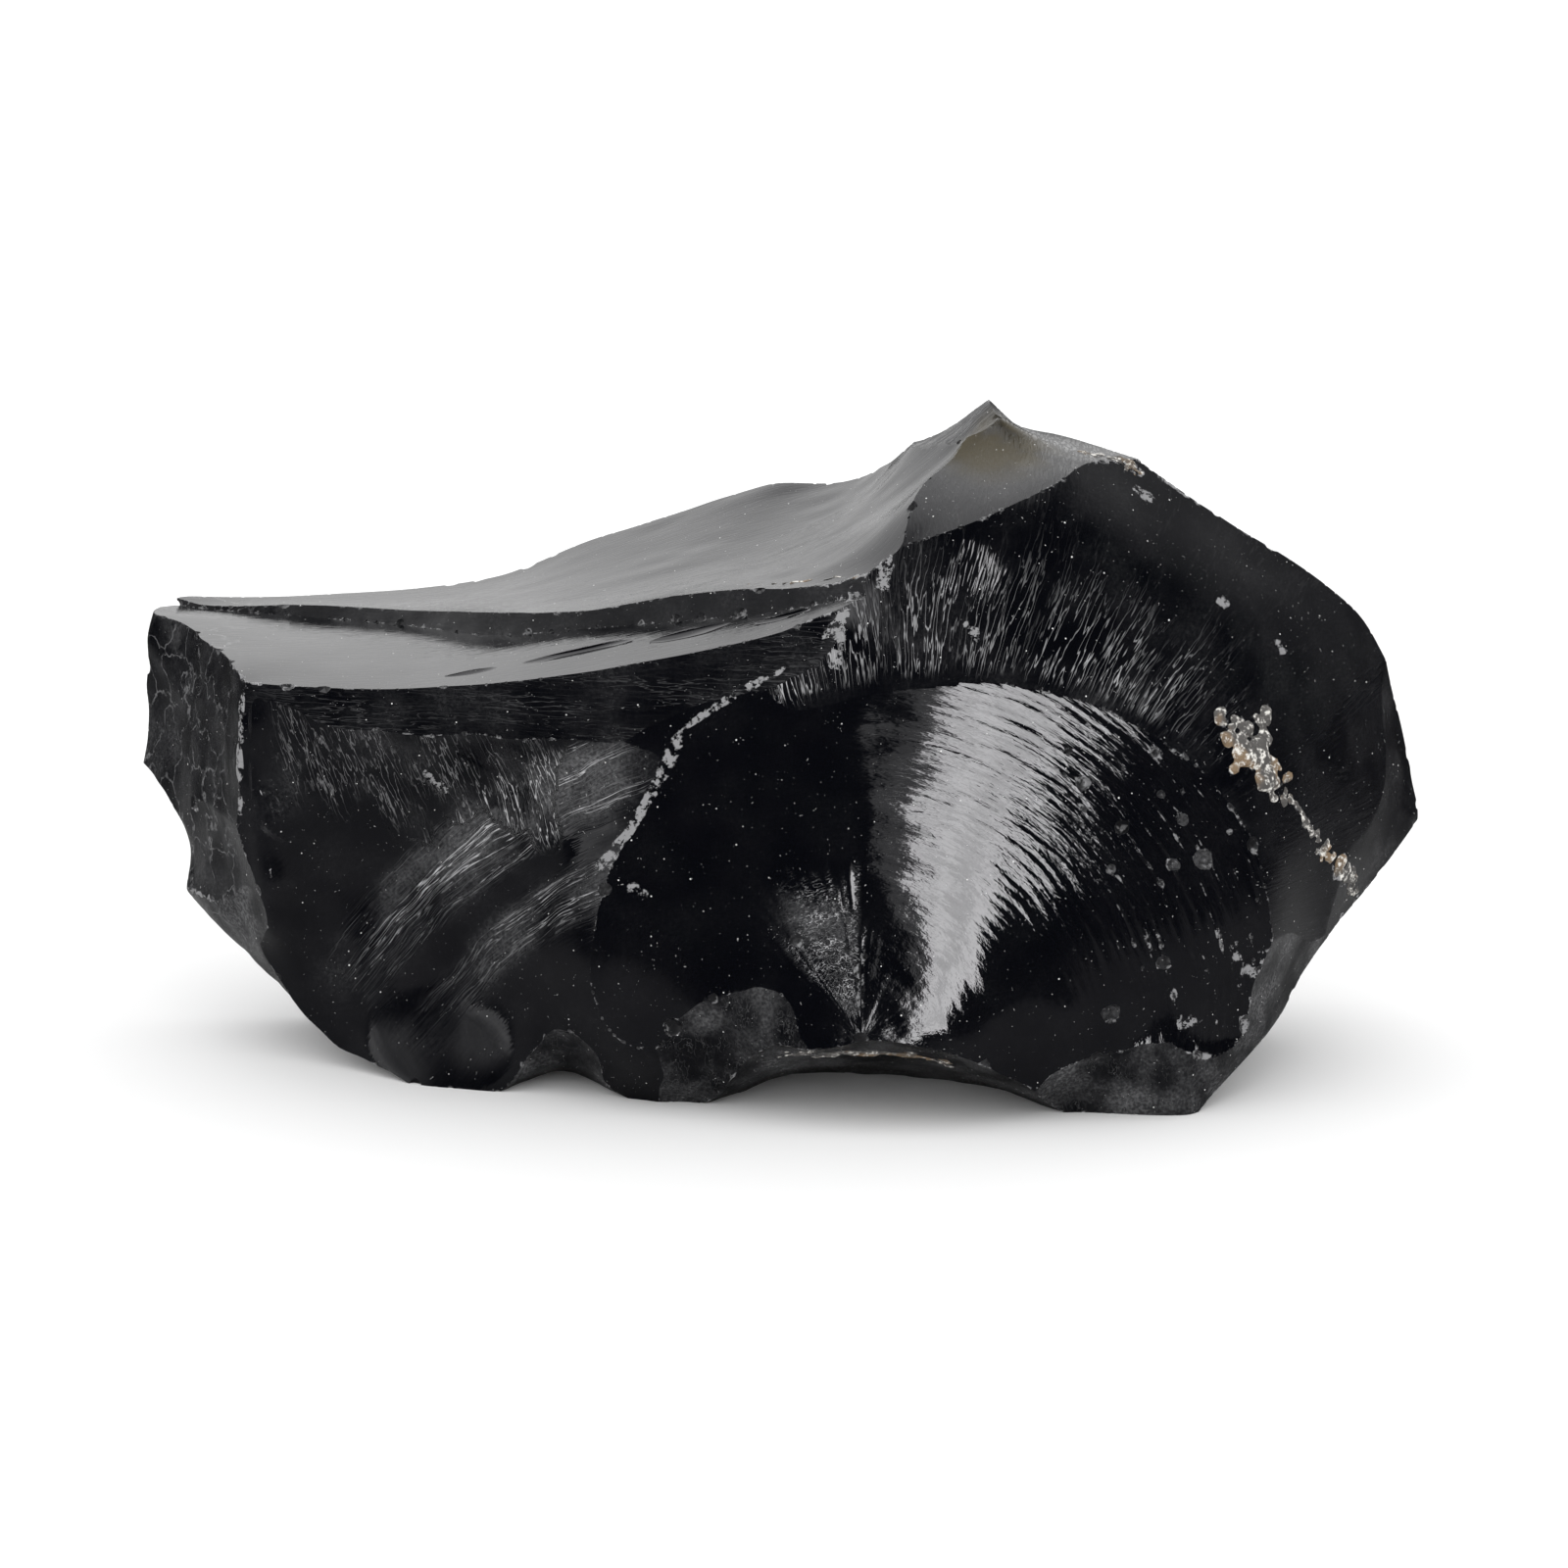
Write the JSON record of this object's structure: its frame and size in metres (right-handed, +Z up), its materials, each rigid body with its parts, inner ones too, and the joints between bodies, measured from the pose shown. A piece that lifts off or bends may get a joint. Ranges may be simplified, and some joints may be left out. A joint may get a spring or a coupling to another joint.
{
  "type": "obsidian chunk",
  "caption": "Hand-sized chunk of black volcanic glass with curved fracture faces and sharp ridges, resting on a flat underside.",
  "frame": {"origin": "under the middle of the stone, on the plane it rests on", "axes": "+X along the length towards the right end as seen from the front, +Z up, the face with the big dome looks along -Y"},
  "size_m": [0.1333, 0.0547, 0.0674],
  "materials": {
    "obsidian": "opaque black volcanic glass, glossy broken faces"
  },
  "bodies": {
    "root": {"obsidian_chunk": "obsidian"}
  },
  "joints": []
}
